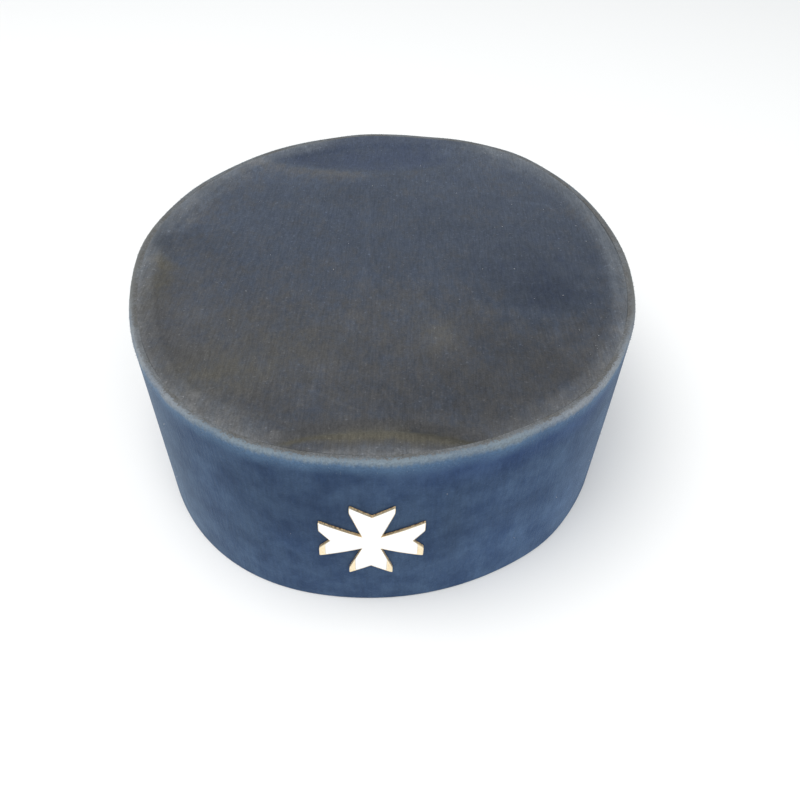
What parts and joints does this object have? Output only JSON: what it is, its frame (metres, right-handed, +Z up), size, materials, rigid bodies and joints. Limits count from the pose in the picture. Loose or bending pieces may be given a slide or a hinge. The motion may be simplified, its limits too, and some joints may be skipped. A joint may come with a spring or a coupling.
{
  "type": "oval velvet pillbox cap with a cross badge",
  "caption": "Stiff oval velvet cap with a flat top, a straight side band and an enamelled cross badge on the front.",
  "frame": {"origin": "on the resting plane, under the middle of the cap", "axes": "+Z up, -Y towards the front, where the badge is, +X to the right as the front is looked at"},
  "size_m": [0.1798, 0.2112, 0.0692],
  "materials": {
    "velvet_side": "dark blue cotton velvet, upright pile, soft sheen at grazing angles",
    "velvet_top": "dark blue-grey velvet with a crushed, slightly faded pile",
    "gilt": "gilt metal, polished faces and sawn edges",
    "enamel": "white hard enamel, glossy",
    "plain_metal": "plain turned metal"
  },
  "bodies": {
    "root": {"side_band": "velvet_side", "top_panel": "velvet_top", "badge_plate": "gilt", "badge_enamel": "enamel", "badge_fixing": "plain_metal"}
  },
  "joints": []
}
